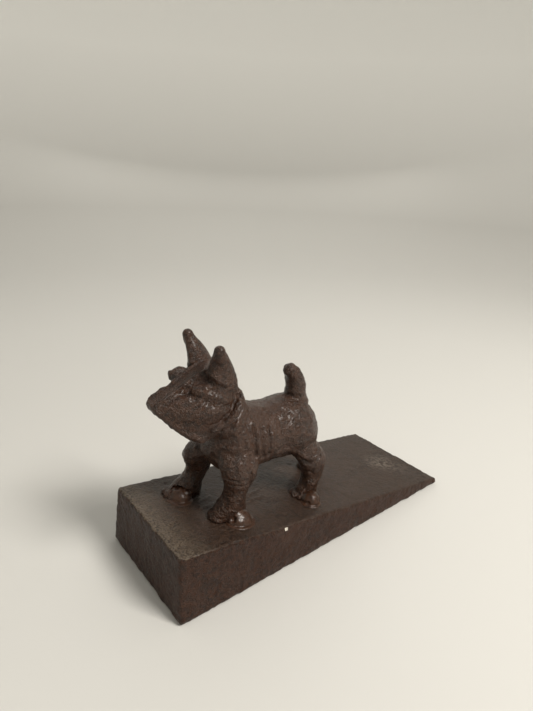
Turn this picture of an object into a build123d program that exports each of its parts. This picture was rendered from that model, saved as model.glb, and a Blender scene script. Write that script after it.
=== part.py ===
# Door stop: a hollow cast-iron wedge with a walking terrier tacked to its sloping top by welds.
#
# Frame, in millimetres: +X runs from the thick end of the wedge to its thin end, the terrier
# faces -X with its left side towards -Y, and +Z is up. The origin is on the floor, under the
# middle of the wedge.

import math
import os

from build123d import *

# ---- wedge casting ----------------------------------------------------------------------
wedge_length = 165.0
wedge_width = 62.0
thick_end_height = 29.5
thin_end_height = 3.5
end_draft = 0.067  # inward lean of the thick end, in mm for each mm of height
side_draft = 0.115  # inward lean of the two sides
corner_radius = 1.4
top_edge_radius = 0.8
base_chamfer = 1.2
side_wall = 5.5
top_plate = 5.5
cavity_low_end = 3.0  # the cavity stops where it would be lower than this
cavity_corner = 4.0

# ---- weld beads -------------------------------------------------------------------------
# Each foot is tacked to the wedge by one domed bead on its left side. The metal ran out into a
# thin lap round some of them: (x, y, radius, height, lap radius).
lap_thickness = 0.6
seat_clearance = 0.03  # each foot's seat is this much larger than the bead that fills it
weld_beads = {
    "front_left": (-46.2, -15.6, 4.7, 4.8, 7.1),
    "front_right": (-59.6, 9.6, 4.7, 5.6, 5.6),
    "rear_left": (-4.2, -17.1, 4.1, 4.3, 4.8),
    "rear_right": (17.2, 2.6, 4.2, 4.3, 5.0),
}

# ---- terrier casting --------------------------------------------------------------------
middle_y = -2.5  # the figure stands a little to the left of the wedge's centre line

# Rounded stretches of the body are lofted through upright stations along X:
# (x, height of centre, half width, half height).
torso_stations = [
    (-54.0, 58.5, 5.0, 6.5),
    (-51.5, 58.0, 9.0, 10.0),
    (-45.0, 57.8, 13.6, 15.2),
    (-37.0, 57.0, 14.8, 15.8),
    (-28.0, 55.2, 13.4, 14.4),
    (-18.0, 54.2, 13.2, 14.4),
    (-8.0, 53.0, 14.0, 15.4),
    (-1.0, 50.5, 12.0, 14.0),
    (2.8, 49.0, 6.5, 8.5),
]

# Neck and collar lie along an axis that climbs forwards from the shoulders.
neck_angle = 52.0
neck_centre = (-49.0, 73.0)  # (x, z) where the axis passes through the collar
neck_half_width = 12.0
neck_half_depth = 11.2
neck_reach_down = 7.5
neck_reach_up = 5.0
collar_width = 3.6
collar_proud = 1.1  # how far the collar stands out of the neck at its sides
collar_shift = 1.4  # the collar sits this far forwards, so that it fades out at the nape

# The head is lofted through eight-cornered stations along X, each given by its half widths and
# heights: (x, (crown band), (brow), (cheek), (jaw)).
head_stations = [
    (-78.6, (1.4, 82.8), (1.9, 82.3), (1.9, 81.6), (1.3, 81.0)),
    (-75.0, (3.4, 84.0), (4.2, 82.8), (5.0, 79.5), (3.2, 76.6)),
    (-71.5, (3.3, 85.4), (5.0, 84.0), (7.0, 78.6), (4.8, 72.8)),
    (-66.0, (2.9, 87.8), (6.8, 85.4), (9.8, 78.0), (7.2, 67.0)),
    (-60.0, (3.0, 90.9), (9.2, 87.6), (12.2, 78.0), (9.0, 64.8)),
    (-54.0, (4.4, 92.8), (10.5, 88.5), (13.2, 78.0), (8.8, 66.2)),
    (-48.0, (4.5, 91.5), (9.0, 87.0), (11.0, 77.0), (7.5, 68.0)),
    (-42.5, (3.5, 86.0), (6.0, 83.0), (7.0, 78.0), (5.0, 73.0)),
]

# Each brow is a stretched ball, and the left one is lower and flatter, as cast:
# (centre), (half sizes along X, Y and Z).
brows = [
    ((-60.2, -10.0, 86.2), (4.6, 2.5, 2.7)),
    ((-61.2, 5.5, 87.4), (4.3, 3.2, 3.4)),
]

# Upright limbs are lofted through level stations:
# (x, sideways from the middle, z, half length along X, half width).
ear_stations = [
    (-50.6, 6.6, 85.0, 7.0, 4.6),
    (-51.6, 7.4, 91.0, 6.0, 4.0),
    (-53.3, 9.2, 97.3, 4.3, 3.0),
    (-55.0, 11.4, 102.4, 2.2, 2.1),
]
ear_turn = 8.0  # the front of each ear is turned outwards by this angle, so its flat shows
leg_stations = {
    "front_left": [
        (-43.5, -7.5, 60.0, 9.0, 6.3),
        (-43.6, -9.6, 52.5, 8.8, 6.9),
        (-44.0, -11.0, 45.5, 7.8, 6.5),
        (-45.2, -11.0, 38.5, 5.4, 5.1),
        (-46.8, -9.8, 32.0, 6.4, 5.3),
        (-48.2, -8.2, 25.0, 9.4, 5.8),
    ],
    "front_right": [
        (-46.0, 7.0, 60.0, 7.0, 6.2),
        (-47.6, 9.2, 52.0, 7.0, 6.2),
        (-49.6, 11.6, 44.0, 7.2, 5.9),
        (-50.0, 13.2, 37.0, 5.2, 4.9),
        (-53.8, 14.2, 31.0, 7.4, 5.0),
        (-57.0, 14.8, 25.5, 9.8, 5.6),
    ],
    "rear_left": [
        (-6.5, -7.0, 50.0, 6.5, 5.5),
        (-4.0, -8.8, 42.5, 8.2, 6.2),
        (-0.4, -10.0, 35.0, 7.0, 5.5),
        (0.0, -10.0, 29.0, 5.4, 4.8),
        (-1.4, -9.6, 23.0, 5.2, 4.6),
        (-3.4, -8.8, 17.0, 7.4, 5.0),
    ],
    "rear_right": [
        (-7.0, 6.5, 50.0, 6.5, 5.5),
        (0.5, 8.2, 42.0, 6.6, 5.6),
        (8.5, 9.6, 34.0, 5.8, 5.0),
        (13.8, 10.2, 27.0, 4.8, 4.4),
        (16.8, 10.4, 20.0, 4.8, 4.5),
        (19.0, 10.3, 13.5, 7.4, 5.2),
    ],
}
sole_overrun = 5.0  # the legs are lofted past the sloping top, then cut off on it

# The tail curls forwards: (x, z, radius, forward lean of the station in degrees).
tail_stations = [
    (-5.0, 64.0, 6.4, 0.0),
    (-5.4, 71.0, 4.9, 6.0),
    (-6.4, 76.5, 4.3, 20.0),
    (-9.2, 80.6, 3.2, 48.0),
]

# ---- worked out from the above ----------------------------------------------------------
left_end = -wedge_length / 2
right_end = wedge_length / 2
top_start = left_end + end_draft * thick_end_height
top_stop = right_end - end_draft * thin_end_height
slope = (thick_end_height - thin_end_height) / (top_stop - top_start)
slope_angle = math.degrees(math.atan(slope))


def top_height(x):
    """Height of the wedge's sloping top at x."""
    return thick_end_height - slope * (x - top_start)


def side_plane(side):
    """The drafted plane of one side of the wedge, its normal pointing outwards."""
    return Plane(
        origin=(0, side * wedge_width / 2, 0),
        x_dir=(1, 0, 0),
        z_dir=(0, side, side_draft),
    )


def on_the_slope(x, y, lift=0.0):
    """A plane that lies on the wedge's top at (x, y), raised by lift along its normal."""
    flat = Plane(origin=(x, y, top_height(x)), x_dir=(1, 0, -slope), z_dir=(slope, 0, 1))
    return flat.offset(lift)


# ---- cavity under the wedge's top plate, open to the floor ------------------------------
roof_drop = top_plate / math.cos(math.radians(slope_angle))
cavity_start = left_end + side_wall
cavity_stop = top_start + (thick_end_height - roof_drop - cavity_low_end) / slope

with BuildPart() as cavity:
    with BuildSketch(Plane.XZ):
        with BuildLine():
            Polyline(
                (cavity_start, 0),
                (cavity_stop, 0),
                (cavity_stop, top_height(cavity_stop) - roof_drop),
                (cavity_start, top_height(cavity_start) - roof_drop),
                close=True,
            )
        make_face()
    extrude(amount=wedge_width / 2, both=True)
    for side in (-1, 1):
        split(bisect_by=side_plane(side).offset(-side_wall), keep=Keep.BOTTOM)
    thick_end_corners = cavity.edges().filter_by(lambda edge: abs(edge.tangent_at(0.5).Z) > 0.5)
    fillet(thick_end_corners.sort_by(Axis.X)[:2], cavity_corner)

# ---- wedge casting ----------------------------------------------------------------------
with BuildPart() as wedge_casting:
    with BuildSketch(Plane.XZ):
        with BuildLine():
            Polyline(
                (left_end, 0),
                (right_end, 0),
                (top_stop, thin_end_height),
                (top_start, thick_end_height),
                close=True,
            )
        make_face()
    extrude(amount=wedge_width / 2, both=True)
    for side in (-1, 1):
        split(bisect_by=side_plane(side), keep=Keep.BOTTOM)
    thick_end = wedge_casting.faces().sort_by(Axis.X)[0]
    fillet(thick_end.edges().filter_by(lambda edge: abs(edge.tangent_at(0.5).Z) > 0.5), corner_radius)
    fillet(wedge_casting.faces().sort_by(Axis.Z)[-1].edges(), top_edge_radius)
    chamfer(wedge_casting.faces().sort_by(Axis.Z)[0].edges(), base_chamfer)
    add(cavity.part, mode=Mode.SUBTRACT)
wedge_casting.part.label = "wedge_casting"


# ---- weld beads -------------------------------------------------------------------------
def weld_bead(leg, root=0.0, growth=0.0):
    """A domed bead with a thin lap round its foot, reaching down to root below the wedge's top."""
    x, y, radius, height, lap_radius = weld_beads[leg]
    ball_radius = (radius**2 + height**2) / (2 * height) + growth
    ball_top = height + growth
    lap_top = lap_thickness + growth
    lap_reach = lap_radius + growth
    shoulder = math.sqrt(ball_radius**2 - (lap_top - ball_top + ball_radius) ** 2)
    with BuildPart() as bead:
        with BuildSketch(Plane.XZ):
            with BuildLine():
                TangentArc((0, ball_top), (shoulder, lap_top), tangent=(1, 0))
                Polyline(
                    (shoulder, lap_top),
                    (lap_reach, lap_top),
                    (lap_reach, -root),
                    (0, -root),
                    (0, ball_top),
                )
            make_face()
        revolve(axis=Axis.Z)
    placed = on_the_slope(x, y).location * bead.part
    placed.label = f"weld_bead_{leg}"
    return placed


beads = {leg: weld_bead(leg) for leg in weld_beads}

# ---- terrier casting --------------------------------------------------------------------
def torso_sections(stations):
    """Ellipses on upright planes across X."""
    sections = []
    for x, z, half_width, half_height in stations:
        with BuildSketch(Plane.YZ.offset(x)) as section:
            with Locations((middle_y, z)):
                Ellipse(half_width, half_height)
        sections.append(section.sketch.face())
    return sections


def head_sections(stations):
    """Eight-cornered outlines, the same on the left and the right, on upright planes across X."""
    sections = []
    for x, *corners in stations:
        right = [(middle_y + half_width, z) for half_width, z in corners]
        left = [(middle_y - half_width, z) for half_width, z in reversed(corners)]
        with BuildSketch(Plane.YZ.offset(x)) as section:
            with BuildLine():
                Polyline(*right, *left, close=True)
            make_face()
        sections.append(section.sketch.face())
    return sections


def limb_sections(stations, side=1, turn=0.0):
    """Level ellipses up a leg or an ear, each turned about its own middle."""
    sections = []
    for x, sideways, z, half_length, half_width in stations:
        with BuildSketch(Plane.XY.offset(z)) as section:
            with Locations((x, middle_y + side * sideways)):
                Ellipse(half_length, half_width, rotation=side * turn)
        sections.append(section.sketch.face())
    return sections


def leg_sections(leg):
    """A leg's ellipses, carried on past the wedge's top, where the leg is cut off."""
    x, sideways, z, half_length, half_width = leg_stations[leg][-1]
    sole = (x, sideways, z - sole_overrun, half_length, half_width)
    return limb_sections(leg_stations[leg] + [sole])


def tail_sections(stations):
    """Circles whose planes lean forwards as the tail curls."""
    sections = []
    for x, z, radius, lean in stations:
        with BuildSketch(Plane(origin=(x, middle_y, z)).rotated((0, -lean, 0))) as section:
            Circle(radius)
        sections.append(section.sketch.face())
    return sections


def neck_plane(along):
    """A plane across the neck, at a distance along its axis from the collar."""
    x, z = neck_centre
    lean = math.radians(neck_angle)
    direction = (-math.cos(lean), 0, math.sin(lean))
    origin = (x + along * direction[0], middle_y, z + along * direction[2])
    return Plane(origin=origin, x_dir=(0, 1, 0), z_dir=direction)


def brow_ridge(centre, half_sizes):
    """One eyebrow ridge."""
    return Location(centre) * scale(Sphere(1), by=half_sizes)


def cast_leg(leg):
    """One leg with the seat for its bead, cut off on the wedge's top."""
    with BuildPart() as limb:
        loft(leg_sections(leg))
        add(weld_bead(leg, sole_overrun, seat_clearance), mode=Mode.SUBTRACT)
        split(bisect_by=on_the_slope(0, 0), keep=Keep.TOP)
    return limb.part


legs = [cast_leg(leg) for leg in leg_stations]
brow_ridges = [brow_ridge(centre, half_sizes) for centre, half_sizes in brows]

with BuildPart() as terrier:
    loft(torso_sections(torso_stations))
    with BuildSketch(neck_plane(-neck_reach_down)):
        Ellipse(neck_half_width, neck_half_depth)
    extrude(amount=neck_reach_down + neck_reach_up)
    with BuildSketch(neck_plane(-collar_width / 2)):
        with Locations((0, -collar_shift)):
            Ellipse(neck_half_width + collar_proud, neck_half_depth)
    extrude(amount=collar_width)
    loft(head_sections(head_stations))
    for brow in brow_ridges:
        add(brow)
    for side in (-1, 1):
        loft(limb_sections(ear_stations, side, ear_turn))
        tip_x, tip_sideways, tip_z, tip_radius, _ = ear_stations[-1]
        with Locations((tip_x, middle_y + side * tip_sideways, tip_z)):
            Sphere(tip_radius)
    loft(tail_sections(tail_stations))
    with Locations((tail_stations[-1][0], middle_y, tail_stations[-1][1])):
        Sphere(tail_stations[-1][2])
    for leg in legs:
        add(leg)
terrier.part.label = "terrier"

# ---- write the pieces -------------------------------------------------------------------
os.makedirs("parts", exist_ok=True)
for piece in (wedge_casting.part, terrier.part, *beads.values()):
    export_step(piece, f"parts/{piece.label}.step")
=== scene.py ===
# %% [markdown]
# A cast-iron door stop: a terrier welded to the sloping top of a hollow wedge, all painted
# dark brown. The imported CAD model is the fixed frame. Everything here is measured in metres
# in that frame; the modelling helpers work in millimetres, because the sizes of a small
# casting are easier to read that way.

# %% Load the frame
import math

import bmesh
import bpy
import numpy as np
from mathutils import Matrix, Vector, noise


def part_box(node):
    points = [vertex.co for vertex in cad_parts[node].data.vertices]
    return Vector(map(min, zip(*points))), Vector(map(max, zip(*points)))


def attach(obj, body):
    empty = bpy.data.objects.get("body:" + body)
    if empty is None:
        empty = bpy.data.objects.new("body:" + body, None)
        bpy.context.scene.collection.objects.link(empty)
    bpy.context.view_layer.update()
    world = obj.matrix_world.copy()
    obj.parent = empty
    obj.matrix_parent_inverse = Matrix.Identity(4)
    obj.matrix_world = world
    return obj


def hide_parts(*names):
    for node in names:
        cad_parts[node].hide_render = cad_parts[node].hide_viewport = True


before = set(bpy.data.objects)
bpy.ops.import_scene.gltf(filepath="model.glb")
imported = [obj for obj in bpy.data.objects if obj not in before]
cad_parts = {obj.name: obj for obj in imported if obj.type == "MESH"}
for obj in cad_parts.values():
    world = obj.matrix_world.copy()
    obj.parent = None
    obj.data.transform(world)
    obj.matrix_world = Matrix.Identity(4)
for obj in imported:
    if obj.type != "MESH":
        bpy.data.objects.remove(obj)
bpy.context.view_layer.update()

MM = 0.001
print("CAD nodes:", sorted(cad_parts))

# %% [markdown]
# The camera stands in front of the thick end and to the left, a little above the terrier,
# and is rolled by a few degrees, as a hand-held phone is. It is placed by a spot, a turn, a
# downward pitch and a roll, so each can be tried on its own.

# %% Camera
camera_spot = Vector((-154.4, -161.4, 170.4)) * MM
camera_turn = math.radians(-39.5)
camera_pitch = math.radians(21.2)
camera_roll = math.radians(2.9)

camera_data = bpy.data.cameras.new("camera")
camera_data.sensor_fit = "VERTICAL"
camera_data.sensor_height = 36.0
camera_data.lens = 26.3
camera = bpy.data.objects.new("camera", camera_data)
bpy.context.scene.collection.objects.link(camera)
backwards = Vector((
    math.sin(camera_turn) * math.cos(camera_pitch),
    -math.cos(camera_turn) * math.cos(camera_pitch),
    math.sin(camera_pitch),
))
level = (-backwards).to_track_quat("-Z", "Y").to_matrix().to_4x4()
rolled = Matrix.Rotation(camera_roll, 4, "Z")
camera.matrix_world = Matrix.Translation(camera_spot) @ level @ rolled
bpy.context.scene.camera = camera
bpy.context.scene.view_settings.view_transform = "Standard"
print("camera lens", round(camera_data.lens, 1), "mm")

# %% [markdown]
# Shader maths reads best as arithmetic, so one class wraps a socket and lets Python's
# operators add the Math nodes. Its one method `node` adds any other kind of node: first its
# settings, then its sockets.

# %% A socket that does arithmetic
class Wire:
    def __init__(self, socket):
        self.socket = socket

    @staticmethod
    def node(tree, kind, settings=None, sockets=None, output=0):
        made = tree.nodes.new(kind)
        for name, value in (settings or {}).items():
            if name == "stops":
                ramp = made.color_ramp.elements
                while len(ramp) < len(value):
                    ramp.new(0.5)
                for stop, (position, colour) in zip(ramp, value):
                    stop.position = position
                    stop.color = colour
            else:
                setattr(made, name, value)
        for name, value in (sockets or {}).items():
            if isinstance(value, Wire):
                tree.links.new(value.socket, made.inputs[name])
            else:
                made.inputs[name].default_value = value
        return Wire(made.outputs[output]) if made.outputs else None

    def maths(self, operation, *values):
        settings = {"operation": operation}
        return Wire.node(self.socket.id_data, "ShaderNodeMath", settings, dict(enumerate(values)))

    def __add__(self, other):
        return self.maths("ADD", self, other)

    def __sub__(self, other):
        return self.maths("SUBTRACT", self, other)

    def __rsub__(self, other):
        return self.maths("SUBTRACT", other, self)

    def __mul__(self, other):
        return self.maths("MULTIPLY", self, other)

    __radd__ = __add__
    __rmul__ = __mul__

    def step(self, low, high):
        """0 below low, 1 above high and a smooth climb between them."""
        settings = {"interpolation_type": "SMOOTHSTEP"}
        sockets = {"Value": self, "From Min": low, "From Max": high}
        return Wire.node(self.socket.id_data, "ShaderNodeMapRange", settings, sockets)


# %% [markdown]
# Every piece has the same finish: dark brown paint on rough cast iron, brushed or dipped on,
# so it pools in the hollows, thins on the bumps and shines a little. One function makes it.
# Its grain is layered noise on Object coordinates: a broad drift of colour, a granular cast
# skin, crumbs and a finer sparkle. The bump only adds the grain that is too fine to model.
# Less sheen means a thinner, duller coat: the wedge has less of it than the figure.

# %% Painted cast iron
def painted_iron(name, colour, roughness, grain, coarse=1.0, sheen=1.0, greyer_span=None, light_spot=None):
    """colour is linear; grain is the bump height in mm; coarse stretches the grain's sizes.
    Then come the two X positions, in mm, between which the paint gets greyer and lighter, and
    the middle of a spot, in mm, where the paint gets lighter and glossier."""
    material = bpy.data.materials.new(name)
    material.use_nodes = True
    tree = material.node_tree
    tree.nodes.clear()
    place = Wire.node(tree, "ShaderNodeTexCoord", output=3)

    def speckle(size, detail=3.0, distortion=0.0):
        sockets = {"Vector": place, "Scale": 1 / (size * MM), "Detail": detail}
        sockets["Distortion"] = distortion
        return Wire.node(tree, "ShaderNodeTexNoise", None, sockets)

    def tint(factor, first, second):
        settings = {"data_type": "RGBA", "blend_type": "MIX"}
        made = {0: factor, 6: first, 7: second}
        return Wire.node(tree, "ShaderNodeMix", settings, made, output=2)

    drift = speckle(20, 2.0)  # the sizes are in mm
    skin = speckle(2.0 * coarse, 3.0, 0.3)
    crumbs = speckle(0.8 * coarse, 2.0, 0.2)
    sparkle = speckle(0.45 * coarse, 1.0)
    height = (skin * 1.2 + crumbs * 1.1 + sparkle * 0.7) * (grain * MM)

    deep = (*[c * 0.5 for c in colour], 1)
    base = (*colour, 1)
    dusty = (*[c * 1.15 + 0.006 for c in colour], 1)
    lighter_grey = (0.115, 0.088, 0.062, 1)
    light_spot_colour = (0.17, 0.14, 0.11, 1)
    paint = tint(skin.step(0.36, 0.6), deep, base)
    paint = tint(drift.step(0.45, 0.75) * 0.5, paint, dusty)
    # Towards the thick end the paint gets greyer and lighter, in patches.
    if greyer_span:
        apart = Wire.node(tree, "ShaderNodeSeparateXYZ", None, {"Vector": place})
        near_end = (apart + (drift - 0.5) * 0.02).step(greyer_span[0] * MM, greyer_span[1] * MM)
        paint = tint(near_end * crumbs.step(0.35, 0.6), paint, lighter_grey)
    gloss = roughness + (drift - 0.5) * 0.2 + (crumbs - 0.5) * 0.3
    # A round spot gets a lighter colour and a glossier finish.
    if light_spot:
        spot = tuple(length * MM for length in light_spot)
        ends = {0: place, 1: spot}
        away = Wire.node(tree, "ShaderNodeVectorMath", {"operation": "DISTANCE"}, ends, 1)
        spot_share = (away + (drift - 0.5) * 0.02).step(0.014, 0.001) * skin.step(0.4, 0.6)
        paint = tint(spot_share, paint, light_spot_colour)
        gloss = gloss - spot_share * 0.15
    normal = Wire.node(tree, "ShaderNodeBump", None, {"Height": height, "Distance": 1.0})
    sockets = {"Base Color": paint, "Roughness": gloss, "Normal": normal}
    sockets["IOR"] = 1.3 + 0.2 * sheen
    sockets["Coat Weight"] = 0.3 * sheen
    sockets["Coat Roughness"] = 0.2
    shader = Wire.node(tree, "ShaderNodeBsdfPrincipled", None, sockets)
    Wire.node(tree, "ShaderNodeOutputMaterial", None, {"Surface": shader})
    return material


brown = (0.043, 0.0175, 0.0082)
dog_paint = painted_iron("terrier_paint", brown, 0.34, 0.6, sheen=0.55)
# The wedge's top and sides are lit and shaded copies of one brown: the top's greyer brown is a
# painted sheen, the sides' darker, warmer brown is painted shade.
top_brown_painted_sheen = (0.039, 0.0205, 0.0120)
side_brown_painted_shade = (0.040, 0.0140, 0.0055)
bead_brown = (0.047, 0.020, 0.010)
bare_white = (0.62, 0.58, 0.50)
# The top's paint gets greyer and lighter towards the thick end, and lighter and glossier in one
# spot near the thin end.
greyer_end_span = (-62, -84)
light_spot_middle = (64, -6, 6)
top_paint_painted_sheen = painted_iron("wedge_top_paint", top_brown_painted_sheen, 0.45, 0.5, 0.9, 0.3, greyer_end_span, light_spot_middle)
side_paint_painted_shade = painted_iron("wedge_side_paint", side_brown_painted_shade, 0.40, 0.85, 0.8, 0.2)
bead_paint = painted_iron("bead_paint", bead_brown, 0.34, 0.1, sheen=0.5)
chip_paint = painted_iron("bare_chip", bare_white, 0.5, 0.1)
finishes = (dog_paint, top_paint_painted_sheen, side_paint_painted_shade, bead_paint, chip_paint)
print("finishes:", [finish.name for finish in finishes])

# %% [markdown]
# A copy of a CAD node's mesh is loose triangles, so it is merged before anything else. Lumps
# of clay are added to it as stretched balls, and a voxel remesh then turns the overlapping
# shells into one even skin, which can be carved like wax.

# %% Modelling helpers
def cad_copy(node):
    """A bmesh with the node's shape, its loose triangles merged."""
    work = bmesh.new()
    work.from_mesh(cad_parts[node].data)
    bmesh.ops.remove_doubles(work, verts=work.verts, dist=0.002 * MM)
    return work


def lump(work, spot, half_sizes, turn=(0, 0, 0)):
    """A stretched ball of clay: spot and half sizes in mm, turned about X, Y and Z in degrees."""
    x, y, z = (math.radians(angle) for angle in turn)
    turned = Matrix.Rotation(z, 4, "Z") @ Matrix.Rotation(y, 4, "Y") @ Matrix.Rotation(x, 4, "X")
    place = Matrix.Translation(Vector(spot) * MM) @ turned @ Matrix.Diagonal((*half_sizes, 1))
    bmesh.ops.create_icosphere(work, subdivisions=3, radius=MM, matrix=place)


def skin_over(name, work, voxel, smoothings=2):
    """Turns the bmesh into one object with an even skin of quads about voxel mm wide."""
    rough = bpy.data.meshes.new(name)
    work.to_mesh(rough)
    work.free()
    piece = bpy.data.objects.new(name, rough)
    bpy.context.scene.collection.objects.link(piece)
    remesh = piece.modifiers.new("skin", "REMESH")
    remesh.mode = "VOXEL"
    remesh.voxel_size = voxel * MM
    soften = piece.modifiers.new("soften", "SMOOTH")
    soften.factor = 0.5
    soften.iterations = smoothings
    graph = bpy.context.evaluated_depsgraph_get()
    skin = bpy.data.meshes.new_from_object(piece.evaluated_get(graph))
    piece.modifiers.clear()
    piece.data = skin
    skin.name = name
    skin.shade_smooth()
    bpy.data.meshes.remove(rough)
    return piece


class Wax:
    """A piece's skin as arrays in mm, to be carved with strokes and written back."""

    def __init__(self, piece):
        self.mesh = piece.data
        self.read()

    def read(self):
        count = len(self.mesh.vertices)
        flat = np.zeros(count * 3, np.float32)
        self.mesh.vertices.foreach_get("co", flat)
        self.at = flat.reshape(-1, 3).astype(float) / MM
        self.mesh.vertices.foreach_get("normal", flat)
        self.out = flat.reshape(-1, 3).astype(float).copy()

    def write(self):
        self.mesh.vertices.foreach_set("co", (self.at * MM).astype(np.float32).ravel())
        self.mesh.update()
        self.read()

    def near(self, points, width, across):
        """1 on a line through points, fading to 0 at width from it. across is the axis that
        the line is drawn along: a side view drops Y, a front view drops X."""
        keep = [axis for axis in range(3) if axis != across]
        flat = self.at[:, keep] if across is not None else self.at
        best = np.full(len(flat), 1e9)
        for start, stop in zip(points[:-1], points[1:]):
            start, stop = np.array(start, float), np.array(stop, float)
            along = stop - start
            share = np.clip((flat - start) @ along / max(along @ along, 1e-9), 0, 1)
            gap = np.linalg.norm(flat - start - share[:, None] * along, axis=1)
            best = np.minimum(best, gap)
        return np.clip(1 - (best / width) ** 2, 0, 1) ** 2

    def stroke(self, points, width, height, across=1, side=0, where=None):
        """Raises (or with a negative height cuts) a band of wax along a line."""
        weight = self.near(points, width, across)
        if side:
            weight = weight * np.clip(self.out[:, across] * side * 2.0, 0, 1)
        if where is not None:
            weight = weight * where
        self.at += self.out * (weight * height)[:, None]

    def both_sides(self, points, width, height, where=None):
        for side in (-1, 1):
            self.stroke(points, width, height, 1, side, where)

    def grain(self, size, height, shift=0.0, where=1.0):
        """Uneven lumps about size mm across, the mark of sand casting."""
        offset = Vector((shift, 2 * shift, 3 * shift))
        bumps = np.array([noise.noise(Vector(point) / size + offset) for point in self.at])
        self.at += self.out * (bumps * height * where)[:, None]


print("helpers ready")

# %% [markdown]
# The terrier is one casting with a coat, brows, a rope-like collar and toes. The CAD solid
# has its masses in the right places; here small lumps are added for the right brow, the
# collar's rope, the ear tips, the toes and the left hock, and the whole gets a skin of quads
# of about half a millimetre, fine enough to carve the coat.

# %% Terrier: clay
middle = -2.5
figure_quad, wedge_quad, bead_quad = 0.45, 0.75, 0.25  # widths of the skins' quads in mm
dog = cad_copy("terrier")
lump(dog, (-60.5, middle + 6.2, 87.6), (4.8, 4.2, 2.8), (-8, 10, 0))
collar = [(-57, 11.0, 70.6), (-54.5, 11.6, 71.4), (-52.2, 12.2, 72.4), (-50.2, 12.8, 73.9)]
collar += [(-47.9, 12.9, 75.7), (-46.1, 12.2, 77.3), (-44.7, 10.6, 78.8)]
for start, stop in zip(collar[:-1], collar[1:]):
    for share in (0, 0.33, 0.67, 1):
        x, sideways, z = Vector(start).lerp(Vector(stop), share)
        for side in (-1, 1):
            lump(dog, (x, middle + side * sideways, z), (1.7, 1.5, 1.7))
for side in (-1, 1):
    lump(dog, (-54.4, middle + side * 10.7, 99.6), (2.8, 2.5, 4.4), (side * -16, -14, 0))
paws = ((-54.0, -10.7, 26.6), (-63.2, 12.3, 27.6), (-8.0, -11.3, 18.6), (14.6, 7.8, 14.8))
for x, y, z in paws:
    for share in (-1, 0, 1):
        lump(dog, (x + 0.8 * abs(share), y + 2.9 * share, z), (2.9, 1.9, 1.7), (0, -12, 0))
lump(dog, (2.8, -12.4, 36.2), (3.2, 3.2, 4.4), (0, 20, 0))
terrier = skin_over("terrier_figure", dog, figure_quad, 1)
print("terrier skin:", len(terrier.data.polygons), "quads")

# %% [markdown]
# Carving: each stroke is drawn on the side view (x, z) and pressed into or raised out of the
# skin along its normal. A few dozen strokes give the folds that a modeller would cut with a
# wire tool: brows, collar, shoulder, ribs, haunch and wrists. Most are the same on both sides.
# The left brow alone is pressed flatter, and a ridge runs along the base of the left ear.

# %% Terrier: carving the head
wax = Wax(terrier)
ahead = np.clip(-wax.out[:, 0] * 3, 0, 1)
for side in (-1, 1):
    edge = [(-77, 3.4, 83.4), (-66, 2.9, 87.8), (-60, 3.1, 90.8), (-54, 4.4, 92.8)]
    wax.stroke([(x, middle + side * y, z) for x, y, z in edge], 1.2, 0.6, across=None)
    beside = [(-76, 5.0, 82.4), (-66, 5.0, 86.8), (-60, 5.4, 89.6), (-55, 6.4, 91.6)]
    wax.stroke([(x, middle + side * y, z) for x, y, z in beside], 1.9, -0.5, across=None)
wax.stroke([(-62, 88), (-57, 86.5)], 5.0, -0.8, 1, -1)
wax.both_sides([(-69.0, 86.8), (-64, 84.6), (-58, 81.8)], 1.8, -0.6)
wax.both_sides([(-60, 82.6), (-52, 79.4)], 2.0, -0.35)
wax.both_sides([(-64.2, 88.4), (-59.7, 86.0), (-55.5, 83.8), (-51.5, 81.4)], 1.6, 0.7)
wax.stroke([(-66.6, 87.0), (-64.6, 87.6)], 1.3, -0.6, 1, -1)
wax.both_sides([(-73, 79.5), (-66, 75), (-60, 71)], 4.5, -0.5)
wax.both_sides([(-76.5, 79.5), (-71.5, 73.8), (-66, 68.6), (-60.5, 65.6)], 1.6, 0.6)
wax.stroke([(-57, 92.6), (-55.4, 91.2), (-51.5, 88.2)], 1.7, 0.8, 1, -1)
for side in (-1, 1):
    hollow = [(middle + side * 8.6, 94), (middle + side * 9.4, 96), (middle + side * 10.4, 99)]
    below_tip = wax.at[:, 2] < 103
    wax.stroke(hollow, 3.6, -0.5, across=0, where=ahead * below_tip)
wax.write()

# %% Terrier: carving the collar and the coat
wax.both_sides([(-53.5, 68.7), (-50.2, 69.9), (-47.8, 71.4), (-45.5, 73.2), (-43, 76)], 1.8, -1.7)
wax.both_sides([(-54, 74), (-51.6, 75.6), (-49.3, 77.4), (-47.6, 79.2)], 1.1, -0.6)
wax.both_sides([(-46, 66), (-44, 62)], 7.5, 1.0)
wax.both_sides([(-50.5, 57.7), (-48.6, 55.6), (-43.8, 57.1)], 1.6, -0.5)
wax.both_sides([(-41.5, 68), (-40.6, 60), (-41.6, 53)], 1.8, -0.7)
for x, top, low in ((-38.2, 66, 53), (-33.8, 65, 51), (-30, 63, 50)):
    wax.both_sides([(x, top), (x - 0.8, (top + low) / 2), (x + 0.4, low)], 1.5, -1.1)
    wax.both_sides([(x + 1.9, top - 3), (x + 1.3, low + 2)], 1.3, 0.5)
wax.both_sides([(-15, 57), (-9, 52)], 9.0, 0.9)
wax.both_sides([(-25, 47), (-18, 45.8), (-11, 41), (-6, 37.8), (0, 40.5)], 1.6, -1.0)
wax.both_sides([(-25, 49), (-17, 48), (-10, 43.5), (-5.5, 40.4), (0, 43)], 2.0, 0.5)
wax.write()

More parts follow.
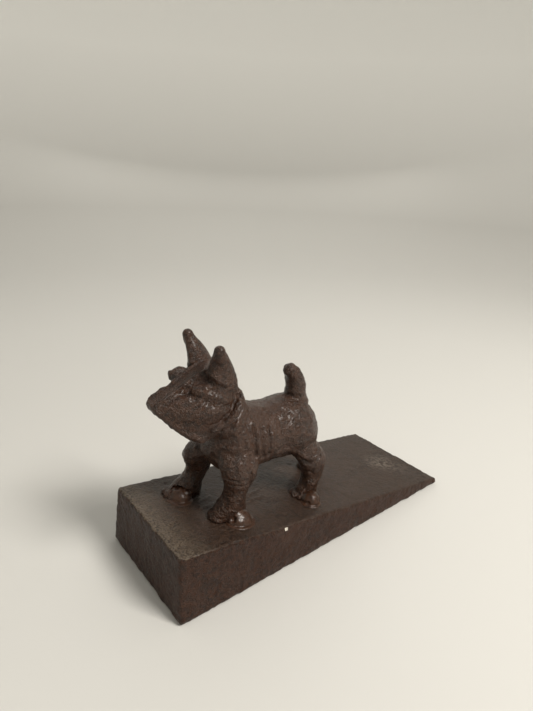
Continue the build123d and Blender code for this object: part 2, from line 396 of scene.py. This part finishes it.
# %% Terrier: wrists, hocks and casting grain
for z in (46.2, 43.8):
    wax.both_sides([(-53, z + 0.8), (-48, z), (-43, z - 0.8)], 0.9, -0.4)
wax.both_sides([(-42.4, 48), (-41.6, 42), (-41.2, 37)], 1.2, -0.8)
wax.write()
smooth_nose = 1 - 0.8 * wax.near([(-79, 83), (-66, 88), (-54, 93)], 4.5, 1) * (
    np.abs(wax.at[:, 1] - middle) < 3.2
)
smooth_ears = np.clip(1 - (wax.at[:, 2] - 90) / 6, 0.25, 1)
finer_above = smooth_nose * smooth_ears
wax.grain(5.0, 0.34, 3.0, finer_above)
wax.grain(2.4, 0.31, 9.0, finer_above)
wax.grain(1.2, 0.20, 5.0, finer_above)
wax.write()
terrier.data.materials.append(dog_paint)
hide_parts("terrier")
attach(terrier, "root")

# %% [markdown]
# The wedge keeps its CAD shape, with a sand-cast skin. Its sides and thick end were never
# touched after casting and are coarse; its top was rubbed down, so it only ripples a little,
# most of all where the weld heat lifted the paint near the feet. It has a few pits and one
# chip where the paint is gone. The grain must not sink through the floor, so the underside is
# levelled again. Each face takes the top's or the sides' paint by the way it points: the two
# are lit and shaded copies of one brown, the top's greyer brown a painted sheen and the sides'
# darker, warmer brown painted shade.

# %% Wedge
chip = (-29.1, -28.8, 19.8)
wedge = skin_over("wedge_body", cad_copy("wedge_casting"), wedge_quad, 1)
wax = Wax(wedge)
on_top = np.clip(wax.out[:, 2] * 3 - 2, 0, 1)
rough_sides = 1 - 0.72 * on_top
wax.grain(6.0, 0.32, 8.0, 1 - 0.5 * on_top)
wax.grain(2.6, 0.24, 5.0, rough_sides)
wax.grain(1.6, 0.20, 2.0, rough_sides)
wax.write()
ripples = [(-38, -7), (-35.5, -3), (-33.5, 1), (-36, 5), (-31, -6), (-29, -1), (-56, -2), (-54, 3)]
for x, y in ripples:
    wave = [(x, y), (x + 2.2, y + 0.8), (x + 4.6, y + 0.3), (x + 7, y + 1.4)]
    wax.stroke(wave, 1.5, 0.45, across=2, where=on_top)
pits = [(-76, -20), (-73, -8), (-77, 3), (-70, 18), (-66, -24), (-60, 22), (-24, -22), (10, 14)]
for x, y in pits:
    wax.stroke([(x, y), (x + 0.8, y)], 1.5, -0.5, across=2, where=on_top)
wax.at[:, 2] = np.maximum(wax.at[:, 2], 0)
wax.write()
for paint in (side_paint_painted_shade, top_paint_painted_sheen, chip_paint):
    wedge.data.materials.append(paint)
chip_spot = Vector(chip) * MM
# Upward faces take the top paint with its painted sheen, the others the side paint with its
# painted shade; the chip is bare.
for face in wedge.data.polygons:
    face.material_index = 1 if face.normal.z > 0.6 else 0
    if (face.center - chip_spot).length < 0.9 * MM:
        face.material_index = 2
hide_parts("wedge_casting")
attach(wedge, "root")
print("wedge skin:", len(wedge.data.polygons), "quads")

# %% [markdown]
# A weld bead is a drop of metal that froze: a smooth dome, never quite round, with a thin lap
# where it ran out over the cold plate, and here and there a crater or a blow hole. Each bead
# is built flat, lumps first and pits after, and then tilted onto the slope.

# %% Weld beads
slope_angle = math.atan(0.16)
wedge_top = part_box("wedge_casting")
bead_lumps = {
    "weld_bead_front_left": [
        ((0.6, -0.2, 0), (6.0, 5.6, 5.2)),
        ((-0.4, 0.4, 2.4), (4.0, 4.0, 3.8)),
        ((-3.2, 1.4, 3.4), (1.7, 1.6, 1.6)),
        ((1.0, -0.9, 0.1), (7.2, 6.6, 0.9)),
    ],
    "weld_bead_front_right": [
        ((0, 0, 0), (5.3, 5.9, 5.2)),
        ((1.6, -1.8, 2.2), (2.8, 2.9, 3.0)),
        ((-0.6, -0.8, 0), (6.1, 6.7, 0.9)),
    ],
    "weld_bead_rear_left": [
        ((-0.6, -0.8, 0.4), (4.7, 4.7, 4.9)),
        ((-1.0, -1.1, 0), (5.6, 5.5, 0.9)),
    ],
    "weld_bead_rear_right": [
        ((0, 0, 0), (4.4, 4.5, 5.0)),
        ((0.4, 0.4, 0), (5.1, 5.1, 0.8)),
    ],
}
bead_pits = {
    "weld_bead_front_left": [((-4.0, -2.4, 3.0), 1.9, -1.5)],
    "weld_bead_front_right": [((-1.4, 0.6, 5.0), 2.0, -0.7), ((-4.0, 1.4, 3), 1.2, -0.5)],
    "weld_bead_rear_left": [((-4.2, -3.0, 1.4), 1.2, -0.5)],
    "weld_bead_rear_right": [],
}
for node, lumps in bead_lumps.items():
    low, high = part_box(node)
    centre = (low + high) / 2
    drop = bmesh.new()
    for spot, half_sizes in lumps:
        lump(drop, spot, half_sizes)
    everything = drop.verts[:] + drop.edges[:] + drop.faces[:]
    floor_cut = Vector((0, 0, -0.4)) * MM
    bmesh.ops.bisect_plane(
        drop, geom=everything, plane_co=floor_cut, plane_no=(0, 0, -1), clear_outer=True
    )
    bmesh.ops.holes_fill(drop, edges=[edge for edge in drop.edges if edge.is_boundary])
    bead = skin_over(node + "_metal", drop, bead_quad, 3)
    wax = Wax(bead)
    for spot, width, depth in bead_pits[node]:
        wax.stroke([spot, spot], width, depth, across=None)
    wax.write()
    wax.grain(2.2, 0.16, centre.x / MM)
    wax.write()
    run = centre.x - wedge_top[0].x
    on_slope = Vector((centre.x, centre.y, wedge_top[1].z - (run - 0.002) * math.tan(slope_angle)))
    bead.data.transform(Matrix.Translation(on_slope) @ Matrix.Rotation(slope_angle, 4, "Y"))
    bead.data.materials.append(bead_paint)
    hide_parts(node)
    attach(bead, "root")
    print(bead.name, [round(v / MM, 1) for v in on_slope], len(bead.data.polygons), "quads")

# %% [markdown]
# A plain pale floor curves up into a plain backdrop, as in a small light tent, so the glossy
# paint has something light to reflect on every side. The lamps light the floor more than the
# backdrop, so the floor's own tone is a little darker than the backdrop's, to even them out.

# %% Floor and light
tent = bmesh.new()
bmesh.ops.create_circle(tent, cap_ends=True, segments=96, radius=0.6)
rim = [edge for edge in tent.edges if edge.is_boundary]
wall_radius, wall_bend, bend_steps = 1.5, 0.9, 24
for step in range(1, bend_steps + 2):
    turn = math.radians(90) * min(step, bend_steps) / bend_steps
    made = bmesh.ops.extrude_edge_only(tent, edges=rim)["geom"]
    rim = [item for item in made if isinstance(item, bmesh.types.BMEdge)]
    ring = [item for item in made if isinstance(item, bmesh.types.BMVert)]
    radius = wall_radius - wall_bend * (1 - math.sin(turn))
    height = wall_bend * (1 - math.cos(turn)) + (1.4 if step > bend_steps else 0)
    for vert in ring:
        vert.co = (*(vert.co.xy.normalized() * radius), height)
floor_mesh = bpy.data.meshes.new("floor")
tent.to_mesh(floor_mesh)
tent.free()
floor_mesh.shade_smooth()
floor = bpy.data.objects.new("floor", floor_mesh)
bpy.context.scene.collection.objects.link(floor)
floor_paint = bpy.data.materials.new("pale_floor")
floor_paint.use_nodes = True
floor_shader = floor_paint.node_tree.nodes["Principled BSDF"]
floor_tree = floor_paint.node_tree
place = Wire.node(floor_tree, "ShaderNodeTexCoord", output=3)
reach = Wire.node(floor_tree, "ShaderNodeVectorMath", {"operation": "LENGTH"}, {0: place}, 1)
tones = [
    (0.2, (0.64, 0.63, 0.60, 1)),
    (0.55, (0.54, 0.53, 0.50, 1)),
    (0.85, (0.92, 0.91, 0.87, 1)),
]
share_of_reach = reach * 0.6  # 1 is a little past the backdrop's foot
even = Wire.node(floor_tree, "ShaderNodeValToRGB", {"stops": tones}, {0: share_of_reach})
floor_tree.links.new(even.socket, floor_shader.inputs["Base Color"])
floor_shader.inputs["Roughness"].default_value = 0.8
floor.data.materials.append(floor_paint)

world = bpy.data.worlds.new("studio")
world.use_nodes = True
world.node_tree.nodes["Background"].inputs["Color"].default_value = (1.0, 0.985, 0.95, 1)
world.node_tree.nodes["Background"].inputs["Strength"].default_value = 0.45
bpy.context.scene.world = world


def softbox(name, spot, aim, size, power, colour=(1, 1, 1)):
    data = bpy.data.lights.new(name, "AREA")
    data.size = size
    data.energy = power
    data.color = colour
    light = bpy.data.objects.new(name, data)
    bpy.context.scene.collection.objects.link(light)
    direction = Vector(aim) - Vector(spot)
    turned = direction.to_track_quat("-Z", "Y").to_matrix().to_4x4()
    light.matrix_world = Matrix.Translation(Vector(spot)) @ turned


softbox("window", (0.20, -0.58, 0.76), (-0.02, 0, 0.04), 0.3, 9.0, (1.0, 0.96, 0.90))
softbox("wall_glow", (0.45, 0.65, 0.55), (0, 0, 0.04), 0.8, 1.2, (1.0, 0.98, 0.93))
